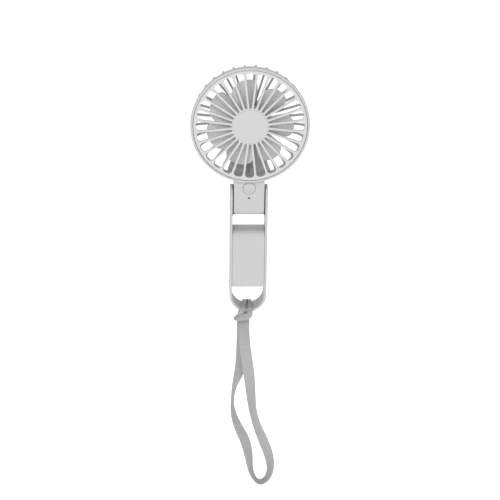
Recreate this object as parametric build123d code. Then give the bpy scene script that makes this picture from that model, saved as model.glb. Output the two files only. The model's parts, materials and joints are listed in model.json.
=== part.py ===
"""Handheld electric fan with a wrist strap, in millimetres.

The fan stands upright along +Z and blows towards -Y. The origin is the centre of the flat back face
of the battery case, where a hand or a holder carries it.

A round caged head holds the motor and impeller. A hollow neck under it turns between the two arms of
a U-shaped band. The band holds the battery case between its arms, and its closed round bottom is the
bar that the strap is looped round.
"""

from build123d import *
import math
import os

os.makedirs("parts", exist_ok=True)

# ---------------------------------------------------------------- driving dimensions
HEAD_R = 51.0            # outside of the head's front rim
HEAD_DEPTH = 21.2        # front rim to rear grille
WALL_R = 49.6            # outside of the drum behind the rim
DRUM_WALL = 2.2
GRILLE_R = 48.7          # outside of the front grille's ring
FRONT_RIBS = 28
REAR_RIBS = 32
IMPELLER_R = 38.0
BLADES = 7

HANDLE_W = 32.6          # across the outside of the band
HANDLE_D = 19.0          # front to back
BAND_T = 2.1             # thickness of the band
CASE_H = 52.0            # height of the battery case
BAND_BOTTOM = -50.0      # lowest point of the band
HINGE_Z = 48.0           # height of the tilt axis
ARM_ABOVE_HINGE = 18.0
HEAD_ABOVE_HINGE = 75.0  # tilt axis to fan axis

NECK_W = 26.6
NECK_R = 8.7             # half the neck's depth, and the round of its lower end
SHELL = 1.5              # wall of the moulded neck
CLEAR = 0.1              # gap between fixed mouldings
RUN = 0.05               # running clearance on a radius
FIT = 0.02               # clearance of a part that is pressed or clipped in

# places worked out from them
HINGE_Y = -HANDLE_D / 2
HEAD_Z = HINGE_Z + HEAD_ABOVE_HINGE
HEAD_Y = -HANDLE_D - 3.0               # front rim of the head
ARM_TOP = HINGE_Z + ARM_ABOVE_HINGE
BAND_X = HANDLE_W / 2                  # outer face of an arm
ARM_X = BAND_X - BAND_T                # inner face of an arm
BAND_CZ = BAND_BOTTOM + BAND_X         # centre of the band's round bottom
NECK_X = NECK_W / 2
NECK_FRONT = HINGE_Y - NECK_R
NECK_BACK = HINGE_Y + NECK_R
BUTTON_Z = HEAD_Z - 57.3
LED_Z = HEAD_Z - 66.2
FAR = 200.0                            # longer than anything that it cuts

# Each screw: head radius, head thickness, shank radius, length.
CASE_SCREW = (1.8, 1.0, 0.78, 12.5)
NECK_SCREW = (1.9, 1.0, 0.83, 11.0)
BOARD_SCREW = (1.4, 0.7, 0.72, 4.0)
FRAME_SCREW = (1.6, 0.8, 0.63, 5.0)
MOTOR_SCREW = (1.7, 0.9, 0.78, 3.0)
HEAD_GAP = 0.2           # round a screw's head in its socket
SHANK_GAP = 0.25         # round a screw's shank in the part that it holds down

# The lathe frame has X across, Y down towards the neck and Z from the front rim to the rear.
HEAD = Pos(0, HEAD_Y, HEAD_Z) * Rot(-90, 0, 0)
DOWN = 90                              # polar angle of the neck in the lathe frame


# ---------------------------------------------------------------- helpers
def save(name, *shapes):
    """Writes one node, as one solid or as a group of separate ones."""
    shape = shapes[0] if len(shapes) == 1 else Compound(children=list(shapes))
    shape.label = name
    export_step(shape, f"parts/{name}.step")


def tube(r_out, r_in, z0, z1):
    """A ring about Z from z0 to z1; r_in of 0 gives a disc."""
    body = Cylinder(r_out, z1 - z0, align=(Align.CENTER, Align.CENTER, Align.MIN))
    if r_in > 0:
        body -= Cylinder(r_in, z1 - z0, align=(Align.CENTER, Align.CENTER, Align.MIN))
    return Pos(0, 0, z0) * body


def turned(points, radii):
    """Revolves a closed outline of (radius, depth) points, with rounded corners, about Z."""
    outline = FilletPolyline(*points, radius=radii, close=True)
    return revolve(Plane.XZ * make_face(outline), Axis.Z, 360)


def block(x0, x1, y0, y1, z0, z1):
    """A box between two corners."""
    return Pos((x0 + x1) / 2, (y0 + y1) / 2, (z0 + z1) / 2) * Box(x1 - x0, y1 - y0, z1 - z0)


def polar(shape, count, start=0.0):
    """Copies of a shape about Z, evenly spaced from an angle in degrees."""
    return [Rot(0, 0, start + k * 360 / count) * shape for k in range(count)]


def along_x(shape, x=0.0, y=HINGE_Y, z=HINGE_Z):
    """Turns a shape made about Z to lie along +X, from x, on the tilt axis unless told otherwise."""
    return Pos(x, y, z) * Rot(0, 90, 0) * shape


def along_y(shape, x, y, z):
    """Turns a shape made about Z to lie along +Y, from y."""
    return Pos(x, y, z) * Rot(-90, 0, 0) * shape


def mirrored(shape):
    """The same shape on the other side of the fan."""
    return shape.mirror(Plane.YZ)


def pair(shape):
    """The shape and its copy on the other side of the fan."""
    return [shape, mirrored(shape)]


def sector(half_angle, reach):
    """A tall wedge about +X, for cutting one out of a ring."""
    a = math.radians(half_angle)
    side = (reach, reach * math.tan(a))
    wedge = make_face(Polyline((0, 0), side, (side[0], -side[1]), close=True))
    return Pos(0, 0, -FAR) * extrude(wedge, 2 * FAR)


def screw(head_r, head_t, shank_r, length):
    """A pan-head screw pointing along +Z with its head's top at 0, and a cross recess."""
    body = tube(head_r, 0, 0, head_t) + tube(shank_r, 0, head_t, length)
    arm = Box(head_r * 1.1, head_r * 0.3, head_t * 0.9)
    return body - arm - Rot(0, 0, 90) * arm


def cable(points, radii, radius):
    """A round cable along straight runs joined by tangent arcs."""
    path = FilletPolyline(*points, radius=radii)
    start = Plane(origin=path @ 0, z_dir=path % 0)
    return sweep(start * Circle(radius), path)


def spoke_gap(r_in, r_out, count, rib, corner_in, corner_out):
    """The flat gap between two neighbouring ribs of even width, centred on +X."""
    half = math.pi / count
    edge = rib / 2

    def on_side(r, sign):
        run = math.sqrt(r * r - edge * edge)
        x = run * math.cos(half) + edge * math.sin(half)
        return (x, sign * (run * math.sin(half) - edge * math.cos(half)))

    outline = ThreePointArc(on_side(r_out, -1), (r_out, 0), on_side(r_out, 1))
    outline += Line(on_side(r_out, 1), on_side(r_in, 1))
    outline += ThreePointArc(on_side(r_in, 1), (r_in, 0), on_side(r_in, -1))
    outline += Line(on_side(r_in, -1), on_side(r_out, -1))
    gap = make_face(outline)
    middle = (r_in + r_out) / 2
    gap = fillet([v for v in gap.vertices() if v.X > middle], corner_out)
    return fillet([v for v in gap.vertices() if v.X < middle and abs(v.X - r_in) < 1], corner_in)


# ---------------------------------------------------------------- head: housing
RIM_STEP = 3.2           # depth of the wide rim
RIM_TAPER = 1.4          # depth of the slope behind it
RIM_EDGE = 0.8           # round of its front edge
LEDGE = 3.0              # depth of the ledge that the front grille sits on
REAR_T = 2.0             # thickness of the rear grille
REAR_CORNER = 5.5        # round between the drum and the rear grille
REAR_RIB_W = 1.7
SLOT_START = 11.5        # the rear slots run over the corner from this depth
SLOT_IN = 18.0           # inner end of the rear slots
CLOSED = 2               # the slots above the neck are closed, up to the middle of this one
SEAT_R = 17.0            # thick disc that carries the motor
SEAT = 18.0              # depth of its front face
CAP_R = 15.4             # rear cap
CAP_SEAT = 19.8
DRUM_IN = WALL_R - DRUM_WALL
RIM_IN = GRILLE_R + 0.3
TAB_W = 8.0              # snap tabs of the front grille
TAB_STARTS = (45, 135, 225, 315)
HOOK = (5.2, 6.2)        # depth of a tab's hook

NECK_TOP = HEAD_Z - WALL_R + REAR_CORNER + 1.0
CAVITY_TOP = HEAD_Z - WALL_R - 1.0
NECK_EDGE = 0.7          # round of the neck's long edges
PIVOT_R = 3.0            # hinge axle
POST_R = 1.9
NECK_SCREWS = ((-9.6, 66.5), (9.6, 66.5), (0.0, 44.6))
NECK_SEAT_Y = -3.0       # the screws' heads rest here
BOARD_SCREWS = ((-5.6, 69.4), (5.6, 69.4))
BOARD_POST_R = 1.6
BOARD_BACK = -11.6       # rear face of the control board
LEAD_Y = -4.0            # the motor lead runs down the rear grille here
LEAD_R = 0.6
MOTOR_SCREW_R = 9.4
MOTOR_SCREWS = 3


def drum():
    """The outer shape of the rear housing: rim, drum wall, round corner and rear plate."""
    return turned(
        [(0, 0), (HEAD_R, 0), (HEAD_R, RIM_STEP), (WALL_R, RIM_STEP + RIM_TAPER), (WALL_R, HEAD_DEPTH),
         (0, HEAD_DEPTH)],
        [0, RIM_EDGE, 0.6, 0.6, REAR_CORNER, 0],
    )


def drum_void():
    """The space inside the rear housing, with the front grille's ledge and the motor's seat."""
    inside = HEAD_DEPTH - REAR_T
    return turned(
        [(0, -1), (RIM_IN, -1), (RIM_IN, LEDGE), (DRUM_IN, LEDGE), (DRUM_IN, inside), (SEAT_R + 0.8, inside),
         (SEAT_R, SEAT), (0, SEAT)],
        [0, 0, 0, 0, REAR_CORNER - DRUM_WALL, 0.3, 0.3, 0],
    )


def neck_prism(inset, top, round_edge):
    """The neck's side outline, pushed out to its width, with every wall moved in by inset."""
    r = NECK_R - inset
    half = NECK_X - inset
    outline = Line((HINGE_Y - r, HINGE_Z), (HINGE_Y - r, top))
    outline += Line((HINGE_Y - r, top), (HINGE_Y + r, top))
    outline += Line((HINGE_Y + r, top), (HINGE_Y + r, HINGE_Z))
    outline += ThreePointArc((HINGE_Y + r, HINGE_Z), (HINGE_Y, HINGE_Z - r), (HINGE_Y - r, HINGE_Z))
    body = Pos(-half, 0, 0) * extrude(Plane.YZ * make_face(outline), 2 * half)
    if round_edge > 0:
        sides = [e for e in body.edges() if abs(abs(e.center().X) - half) < 0.01 and e.center().Z < top - 1]
        body = fillet(sides, round_edge)
    return body


def rear_slots():
    """Cutters for the rear grille's slots, which stop at the edges of the closed part above the neck."""
    gap = spoke_gap(SLOT_IN, HEAD_R + 2, REAR_RIBS, REAR_RIB_W, 0.6, 0.4)
    cutter = Pos(0, 0, SLOT_START) * extrude(gap, HEAD_DEPTH)
    step = 360 / REAR_RIBS
    closed = Rot(0, 0, DOWN) * sector(CLOSED * step, HEAD_R + 5)
    slots = []
    for k in range(CLOSED, REAR_RIBS - CLOSED + 1):
        slot = Rot(0, 0, DOWN + k * step) * cutter
        slots.append(slot - closed if min(k, REAR_RIBS - k) == CLOSED else slot)
    return slots


def rear_housing():
    """Drum, rear grille and the rear half of the neck in one moulding."""
    neck = neck_prism(0, NECK_TOP, NECK_EDGE)
    neck -= block(-FAR, FAR, -FAR, HINGE_Y, -FAR, FAR)
    cavity = neck_prism(SHELL, CAVITY_TOP, 0)
    root = NECK_BACK - SHELL / 2           # the posts grow out of the rear wall
    thick, thin = tube(POST_R + 0.6, 0, 0, root - HINGE_Y), tube(BOARD_POST_R, 0, 0, root - BOARD_BACK)
    posts = [along_y(thick, x, HINGE_Y, z) for x, z in NECK_SCREWS]
    posts += [along_y(thin, x, BOARD_BACK, z) for x, z in BOARD_SCREWS]
    body = HEAD * drum() + (neck - cavity + posts)
    recess = tube(CAP_R + CLEAR, 0, CAP_SEAT, HEAD_DEPTH + 1)
    head_r, head_t, shank_r, _ = MOTOR_SCREW
    socket = tube(head_r + HEAD_GAP, 0, CAP_SEAT - head_t, CAP_SEAT + 1)
    socket += tube(shank_r + SHANK_GAP, 0, SEAT - 1, CAP_SEAT)
    sockets = polar(Pos(MOTOR_SCREW_R, 0, 0) * socket, MOTOR_SCREWS, DOWN)
    half_tab = TAB_W / 2 + 0.3
    catch = block(DRUM_IN - 1, DRUM_IN + 0.9, -half_tab, half_tab, HOOK[0] - 0.2, HOOK[1] + 0.2)
    catches = [Rot(0, 0, a) * catch for a in TAB_STARTS]
    body -= [HEAD * s for s in [drum_void(), recess, *rear_slots(), *sockets, *catches]]
    head_r, _, shank_r, _ = NECK_SCREW
    for x, z in NECK_SCREWS:
        body -= along_y(tube(head_r + HEAD_GAP, 0, 0, FAR), x, NECK_SEAT_Y, z)
        body -= along_y(tube(shank_r + SHANK_GAP, 0, 0, FAR), x, HINGE_Y - 1, z)
    for x, z in BOARD_SCREWS:
        body -= along_y(tube(BOARD_SCREW[2] + FIT, 0, 0, BOARD_SCREW[3]), x, BOARD_BACK - 0.1, z)
    lead_hole = Cylinder(LEAD_R + 0.5, 12, align=(Align.CENTER, Align.CENTER, Align.MIN))
    body -= Pos(0, LEAD_Y, CAVITY_TOP - 3) * lead_hole
    return body - along_x(tube(PIVOT_R + RUN, 0, -FAR, FAR))


def bevelled_hole(radius):
    """Cutter for a hole through the neck's front wall, wider at its mouth."""
    wide = radius + HOLE_BEVEL
    return turned([(0, -1), (wide, -1), (wide, 0), (radius, HOLE_BEVEL), (radius, 5), (0, 5)], [0] * 6)


def neck_cover():
    """The front half of the neck, with the button's and the light's holes."""
    cover = neck_prism(0, NECK_TOP, NECK_EDGE)
    cover -= neck_prism(SHELL, CAVITY_TOP, 0)
    for x, z in NECK_SCREWS:
        cover += along_y(tube(POST_R, 0, 0, HINGE_Y - NECK_FRONT - 1), x, NECK_FRONT + 1, z)
        cover -= along_y(tube(NECK_SCREW[2] + FIT, 0, 0, 9), x, NECK_FRONT + SHELL + 2.4, z)
    cover -= block(-FAR, FAR, HINGE_Y, FAR, -FAR, FAR)
    gap = 0.15
    rim_back = RIM_STEP + RIM_TAPER
    cover -= HEAD * turned(
        [(0, -5), (HEAD_R + gap, -5), (HEAD_R + gap, RIM_STEP + gap), (WALL_R + gap, rim_back + gap),
         (WALL_R + gap, FAR), (0, FAR)],
        [0] * 6,
    )
    cover -= along_y(bevelled_hole(BUTTON_R + CLEAR), 0, NECK_FRONT, BUTTON_Z)
    cover -= along_y(tube(LENS_R + RUN, 0, -1, 4), 0, NECK_FRONT, LED_Z)
    return cover - along_x(tube(PIVOT_R + RUN, 0, -FAR, FAR))


def rear_cap():
    """The round cover over the motor's screws, which stands on its edge."""
    back = HEAD_DEPTH
    under = CAP_SEAT + 0.5
    return turned(
        [(0, under), (CAP_R - 1.6, under), (CAP_R - 1.6, CAP_SEAT), (CAP_R, CAP_SEAT), (CAP_R, back),
         (0, back)],
        [0, 0, 0, 0, 0.4, 0],
    )


# ---------------------------------------------------------------- head: front grille
DISC_R = 15.55           # centre disc
FRONT_DOME = 1.3         # the disc stands this far in front of the ring
RIB_T = 2.0              # front to back
FRONT_RIB_W = 1.85
SLOT_FRONT_IN = 15.9
SLOT_FRONT_OUT = 46.3
RIB_EDGE = 0.45          # round of the ribs' front edges
CAP_T = 1.2              # thickness of the centre disc
CAP_PROUD = 0.3          # the disc stands this far out of its seat
CAP_EDGE = 0.25          # round of its front edge


def front_grille():
    """Ring, straight ribs and hub of the front grille, with snap tabs behind the ring."""
    body = turned(
        [(0, -FRONT_DOME), (SLOT_FRONT_IN, -FRONT_DOME), (SLOT_FRONT_OUT, 0), (GRILLE_R, 0),
         (GRILLE_R, LEDGE), (SLOT_FRONT_OUT, LEDGE), (SLOT_FRONT_OUT, RIB_T),
         (SLOT_FRONT_IN, RIB_T - FRONT_DOME), (0, RIB_T - FRONT_DOME)],
        [0, 0, 0, 0.7, 0, 0.3, 0, 0, 0],
    )
    gap = spoke_gap(SLOT_FRONT_IN, SLOT_FRONT_OUT, FRONT_RIBS, FRONT_RIB_W, 0.7, 3.0)
    body -= polar(Pos(0, 0, -5) * extrude(gap, 10), FRONT_RIBS, DOWN)
    back = HOOK[1] + 0.1
    tab = block(DRUM_IN - 1.3, DRUM_IN - 0.35, -TAB_W / 2, TAB_W / 2, LEDGE - 0.2, back)
    tab += block(DRUM_IN - 0.8, DRUM_IN + 0.5, -TAB_W / 2, TAB_W / 2, *HOOK)
    body += [Rot(0, 0, a) * tab for a in TAB_STARTS]
    body -= tube(DISC_R - 0.5, 0, -FRONT_DOME - 1, CAP_T - CAP_PROUD - FRONT_DOME)

    def on_a_rib(edge):
        at = edge.center()
        return at.Z < 0.02 and SLOT_FRONT_IN - 0.1 < math.hypot(at.X, at.Y) < SLOT_FRONT_OUT + 0.1

    return fillet([e for e in body.edges() if on_a_rib(e) and e.length < SLOT_FRONT_OUT], RIB_EDGE)


def centre_cap():
    """The smooth disc that closes the middle of the front grille."""
    front = -FRONT_DOME - CAP_PROUD
    return turned(
        [(0, front), (DISC_R - 0.6, front), (DISC_R - 0.6, front + CAP_T), (0, front + CAP_T)],
        [0, CAP_EDGE, 0, 0],
    )


# ---------------------------------------------------------------- motor
# Depths in this section are in the lathe frame, from the head's front rim.
SHAFT_R = 1.0
SHAFT = (4.9, 17.7)      # its two ends
BUSH_R = 2.4
BUSH_T = 2.6
BUSHES = (8.4, 14.4)     # front faces of the two bushes
BEARING_TUBE_R = 3.2
BEARING_TUBE_FRONT = 7.8
STATOR_R = 10.5
STATOR_CORE_R = 5.0
POLE_T = 1.2             # thickness of a pole shoe
MAGNET_IN = 11.0
MAGNET = (9.4, 14.6)
ROTOR_R = 13.0
ROTOR_WALL = 0.8
ROTOR = (6.6, 15.2)
BASE_T = 1.2
BASE_R = 12.0
POLES = 9
STACK = (10.0, 14.0)     # stator laminations, front and back
TOOTH_W = 1.8
COIL_SWELL = 0.9         # thickness of a coil's winding
COIL = (5.5, 8.9)        # inner and outer end of a coil
MOTOR_BOARD_R = 9.8
MOTOR_BOARD = (15.3, 16.1)
CLIP_GROOVE = (17.15, 17.45)
CLIP_DEPTH = 0.25


def motor_base():
    """Mounting flange and bearing tube."""
    body = tube(BASE_R, 0, SEAT - BASE_T, SEAT) + tube(BEARING_TUBE_R, 0, BEARING_TUBE_FRONT, SEAT)
    body -= tube(BUSH_R + FIT / 2, 0, 0, FAR)
    return body - polar(Pos(MOTOR_SCREW_R, 0, 0) * tube(MOTOR_SCREW[2] + FIT, 0, 0, FAR), MOTOR_SCREWS, DOWN)


def bearing(front):
    """A sintered bush."""
    return tube(BUSH_R, SHAFT_R + 0.03, front, front + BUSH_T)


def stator_core():
    """Iron ring with a tooth and pole shoe for each coil."""
    body = tube(STATOR_CORE_R, BEARING_TUBE_R + FIT, *STACK)
    tooth = block(STATOR_CORE_R - 0.4, STATOR_R - 0.6, -TOOTH_W / 2, TOOTH_W / 2, *STACK)
    shoe = tube(STATOR_R, STATOR_R - POLE_T, *STACK) & sector(0.8 * 180 / POLES, STATOR_R + 3)
    return body + polar(tooth + shoe, POLES)


def stator_windings():
    """One coil of copper wire round each tooth."""
    front, back = STACK
    half = TOOTH_W / 2 + COIL_SWELL
    coil = block(*COIL, -half, half, front - COIL_SWELL, back + COIL_SWELL)
    coil = fillet(coil.edges().filter_by(Axis.X), COIL_SWELL - 0.1)
    gap = 0.03
    hole = TOOTH_W / 2 + gap
    return polar(coil - block(0, FAR, -hole, hole, front - gap, back + gap), POLES)


def motor_board():
    """Ring board behind the stator that the coils and the lead are soldered to."""
    return tube(MOTOR_BOARD_R, BEARING_TUBE_R + RUN, *MOTOR_BOARD)


def rotor_cup():
    """Steel cup round the stator, pressed into the impeller's hub."""
    front, back = ROTOR
    cup = tube(ROTOR_R, 0, front, back) - tube(ROTOR_R - ROTOR_WALL, 0, front + ROTOR_WALL, back + 1)
    return cup - tube(SHAFT_R + FIT / 2, 0, 0, FAR)


def rotor_magnet():
    """Magnet ring inside the cup."""
    return tube(ROTOR_R - ROTOR_WALL - FIT / 2, MAGNET_IN, *MAGNET)


def motor_shaft():
    """Steel shaft with a groove for its clip near the rear end."""
    return tube(SHAFT_R, 0, *SHAFT) - tube(SHAFT_R + 1, SHAFT_R - CLIP_DEPTH, *CLIP_GROOVE)


def shaft_clip():
    """Spring clip in the shaft's groove, behind the rear bush."""
    front, back = CLIP_GROOVE
    clip = tube(SHAFT_R + 0.7, SHAFT_R - CLIP_DEPTH + FIT / 2, front + FIT / 2, back - FIT / 2)
    return clip - block(0, 3, -0.4, 0.4, front - 1, back + 1)


# ---------------------------------------------------------------- impeller
HUB_R = 14.6
HUB_FRONT = 4.2
HUB_BACK = 14.8
HUB_T = 1.4              # thickness of its front
BLADE_Z = 9.8            # depth of the blades' middle
BLADE_T = 1.2
ROOT_PITCH = 38
TIP_PITCH = 20
IMPELLER_TURN = 6.0      # a blade lies at this angle when the fan rests


def blade():
    """A twisted blade with a swept, rounded outline of (radius, angle) points, about +X."""
    def section(x, pitch, chord):
        a = math.radians(pitch)
        plane = Plane(origin=(x, 0, BLADE_Z), x_dir=(0, math.cos(a), math.sin(a)), z_dir=(1, 0, 0))
        return plane * Rectangle(chord, BLADE_T)    # the chords only have to reach past the outline

    sheet = loft([section(10, ROOT_PITCH, 30), section(IMPELLER_R + 2, TIP_PITCH, 70)])
    root = HUB_R - 1.6
    outline = [(root, -22), (0.63 * IMPELLER_R, -28), (0.85 * IMPELLER_R, -23), (0.965 * IMPELLER_R, -12),
               (IMPELLER_R, 2), (0.955 * IMPELLER_R, 14), (0.75 * IMPELLER_R, 20), (root, 20)]
    rim = [(r * math.cos(math.radians(a)), r * math.sin(math.radians(a))) for r, a in outline]
    planform = extrude(make_face(Spline(*rim) + Line(rim[-1], rim[0])), HUB_BACK - HUB_FRONT - 0.6)
    planform = Pos(0, 0, HUB_FRONT + 0.4) * planform
    return (sheet & planform) - tube(HUB_R - 0.9, 0, 0, FAR)


def impeller():
    """Hub and blades in one moulding."""
    hub = turned(
        [(0, HUB_FRONT), (HUB_R, HUB_FRONT), (HUB_R, HUB_BACK), (ROTOR_R + RUN, HUB_BACK),
         (ROTOR_R + RUN, HUB_FRONT + HUB_T), (0, HUB_FRONT + HUB_T)],
        [0, 1.2, 0, 0, 0, 0],
    )
    hub += tube(3 * SHAFT_R, 0, HUB_FRONT + 1, ROTOR[0])
    hub += polar(blade(), BLADES, IMPELLER_TURN)
    return hub - tube(SHAFT_R + FIT / 2, 0, SHAFT[0] - 0.1, FAR)


# ---------------------------------------------------------------- neck: electronics, button and light
BUTTON_R = 5.1
BUTTON_PROUD = 0.4       # the button stands this far out of the neck
BUTTON_EDGE = 0.45
DISH_R = 17.0            # radius of the sphere that dishes the button's face
DISH_DEPTH = 0.4
HOLE_BEVEL = 0.45        # bevel of the button's hole
FLANGE_R = 6.0           # flange behind the wall, which keeps the button in
FLANGE_T = 0.7
STEM_R = 1.9
PIN_R = 1.1
PIN_PROUD = 0.6          # the switch's pin stands this far out of its body
PRESS = 0.35             # travel of the button
LENS_R = 0.9
BOARD_T = 1.0
BOARD_FRONT = BOARD_BACK - BOARD_T
BOARD_HALF_W = 7.4
BOARD_Z = (54.4, 71.4)   # lower and upper edge of the control board
SWITCH_T = 2.0
SWITCH_HALF = 2.6
SWITCH_FRONT = BOARD_FRONT - SWITCH_T
FEET_X = 3.2
FEET_Z = 1.8
CHIP = (3.0, 0.9, 4.0)   # width, thickness and height of the driver chip


def power_button():
    """Round button with a retaining flange behind the wall and a stem for the switch."""
    front = NECK_FRONT - BUTTON_PROUD
    flange = BUTTON_PROUD + SHELL + PRESS - 0.2
    back = SWITCH_FRONT - PIN_PROUD - front
    body = turned(
        [(0, 0), (BUTTON_R, 0), (BUTTON_R, flange), (FLANGE_R, flange), (FLANGE_R, flange + FLANGE_T),
         (STEM_R, flange + FLANGE_T), (STEM_R, back), (0, back)],
        [0, BUTTON_EDGE, 0, 0, 0, 0, 0, 0],
    )
    dish = Pos(0, 0, DISH_DEPTH - DISH_R) * Sphere(DISH_R)
    return along_y(body - dish, 0, front, BUTTON_Z)


def switch_plunger():
    """The switch's moving pin, which the button's stem rests on."""
    return along_y(tube(PIN_R, 0, 0, 2 * PIN_PROUD + 0.1), 0, SWITCH_FRONT - PIN_PROUD, BUTTON_Z)


def tact_switch():
    """Body of the switch, with a well for its pin and four solder feet."""
    h = SWITCH_HALF
    body = block(-h, h, SWITCH_FRONT, BOARD_FRONT, BUTTON_Z - h, BUTTON_Z + h)
    body -= along_y(tube(PIN_R + RUN, 0, 0, 1.6), 0, SWITCH_FRONT - 0.1, BUTTON_Z)
    for z in (BUTTON_Z - FEET_Z, BUTTON_Z + FEET_Z):
        body += pair(block(h - 0.1, FEET_X, BOARD_FRONT - 0.3, BOARD_FRONT, z - 0.4, z + 0.4))
    return body


def control_board():
    """Circuit board behind the button."""
    body = block(-BOARD_HALF_W, BOARD_HALF_W, BOARD_FRONT, BOARD_BACK, *BOARD_Z)
    for x, z in BOARD_SCREWS:
        body -= along_y(tube(BOARD_SCREW[2] + HEAD_GAP / 2, 0, 0, 3), x, BOARD_FRONT - 1, z)
    return body


def control_parts():
    """The driver chip and a column of small components, each a little taller than the last."""
    width, thick, height = CHIP
    left, low = -5.9, BOARD_Z[0] + 1.6
    parts = [block(left, left + width, BOARD_FRONT - thick, BOARD_FRONT, low, low + height)]
    for k in range(3):
        z = low + 0.2 + 2 * k
        parts.append(block(3.4, 5.0, BOARD_FRONT - 0.5 - 0.1 * k, BOARD_FRONT, z, z + 0.9))
    return parts


def led_chip():
    """The light on the board, behind its lens."""
    return block(-0.8, 0.8, BOARD_FRONT - 0.7, BOARD_FRONT, LED_Z - 0.4, LED_Z + 0.4)


def led_lens():
    """Light pipe from the light to the front of the neck, with a flange behind the wall."""
    body = tube(LENS_R, 0, 0.15, 4.3) + tube(LENS_R + 0.6, 0, SHELL + RUN, SHELL + RUN + 0.6)
    return along_y(body, 0, NECK_FRONT, LED_Z)


# ---------------------------------------------------------------- hinge
AXLE_BORE = 1.4
AXLE_END = 9.2           # inner end of an axle, from the middle
AXLE_FLANGE_R = 4.2
FLANGE_X = BAND_X - 0.8  # inner face of an axle's flange
AXLE_OUT = FLANGE_X + 0.6
AXLE_GROOVE = (NECK_X - SHELL - 0.6, NECK_X - SHELL - 0.1)
AXLE_GROOVE_DEPTH = 0.4
LEAD_X = ARM_X + 0.78    # the power lead runs up inside the arm here
GROOVE_X = LEAD_X + 0.65
GROOVE_HALF = 0.7        # half the groove's width, along Y
GROOVE_FOOT = 21.8       # where the lead comes out of the case into the groove
CABLE_R = 0.5
PAD_HALF_D = 6.8         # half the friction pad's depth
PAD_LOW = HINGE_Z - 8.4
PAD_TOP = ARM_TOP - 1.0
PAD_EDGE = 2.0
CAP_EDGE_X = BAND_X + 0.4
COVER_TOP = PAD_LOW - 0.3
COVER_HALF = 1.85        # half the lead cover's width, along Y
COVER_T = 0.2


def hinge_axle():
    """Hollow axle with a flange outside the arm and a groove for its clip."""
    axle = tube(PIVOT_R, AXLE_BORE, AXLE_END, AXLE_OUT)
    axle += tube(AXLE_FLANGE_R, AXLE_BORE, FLANGE_X, AXLE_OUT)
    return along_x(axle - tube(PIVOT_R + 1, PIVOT_R - AXLE_GROOVE_DEPTH, *AXLE_GROOVE))


def slotted_axle():
    """The right axle, which the power lead enters through a slot in its underside."""
    return hinge_axle() - block(ARM_X, FLANGE_X, HINGE_Y - GROOVE_HALF, HINGE_Y + GROOVE_HALF, 0, HINGE_Z)


def hinge_clip():
    """Spring clip on the axle, inside the neck's wall."""
    inner, outer = AXLE_GROOVE
    clip = tube(4.6, PIVOT_R - AXLE_GROOVE_DEPTH + FIT, inner + FIT, outer - FIT)
    return along_x(clip - block(-8, 0, -1.2, 1.2, inner - 1, outer + 1))


def friction_pad():
    """Flat pad on the arm's inner face that the side of the neck turns against."""
    pad = block(NECK_X + 0.12, ARM_X, HINGE_Y - PAD_HALF_D, HINGE_Y + PAD_HALF_D, PAD_LOW, PAD_TOP)
    pad = fillet(pad.edges().filter_by(Axis.X), PAD_EDGE)
    return pad - along_x(tube(PIVOT_R + FIT, 0, 0, FAR))


def hinge_cap():
    """Round cap over the axle's flange, with a stem in its bore."""
    stem = AXLE_BORE - FIT
    cap = turned(
        [(0, AXLE_OUT - 0.4), (stem, AXLE_OUT - 0.4), (stem, AXLE_OUT), (AXLE_FLANGE_R, AXLE_OUT),
         (AXLE_FLANGE_R, CAP_EDGE_X), (0, CAP_EDGE_X)],
        [0, 0, 0, 0, 0.4, 0],
    )
    return along_x(cap)


# ---------------------------------------------------------------- handle
CASE_X = ARM_X - CLEAR
CASE_FRONT = -HANDLE_D + 0.2
CASE_WALL = 1.4
CASE_ROUND = 6.0         # round of the case's upper front edge
CASE_EDGE = 0.5          # round of its other edges
CASE_SPLIT = -10.0
CASE_Z = CASE_H / 2
CASE_SCREWS = ((-6.4, 22.2), (6.4, 22.2), (-6.4, -22.2), (6.4, -22.2))
CASE_SEAT_Y = -2.4       # the screws' heads rest here
SIDE_SCREW_Y = -12.6
SIDE_SCREW_Z = 21.3
SIDE_PAD_X = 11.2        # inner face of the pads that the band's screws bite into
LIP_T = 0.6
LIP_H = 1.0
CROWN = 8.0              # round of the arms' tops
BAND_EDGE = 0.45
PORT_Z = -13.0
PORT_W = 9.0
PORT_H = 3.2
CELL = (21.6, 9.3, 36.0)               # width, thickness and height of the cell
CELL_FRONT = -17.2
CELL_BOTTOM = -19.0
CHARGE_BACK = -6.2                     # rear face of the charging board
CHARGE_HALF_W = 10.4
CHARGE_Z = (-19.6, 4.0)


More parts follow.
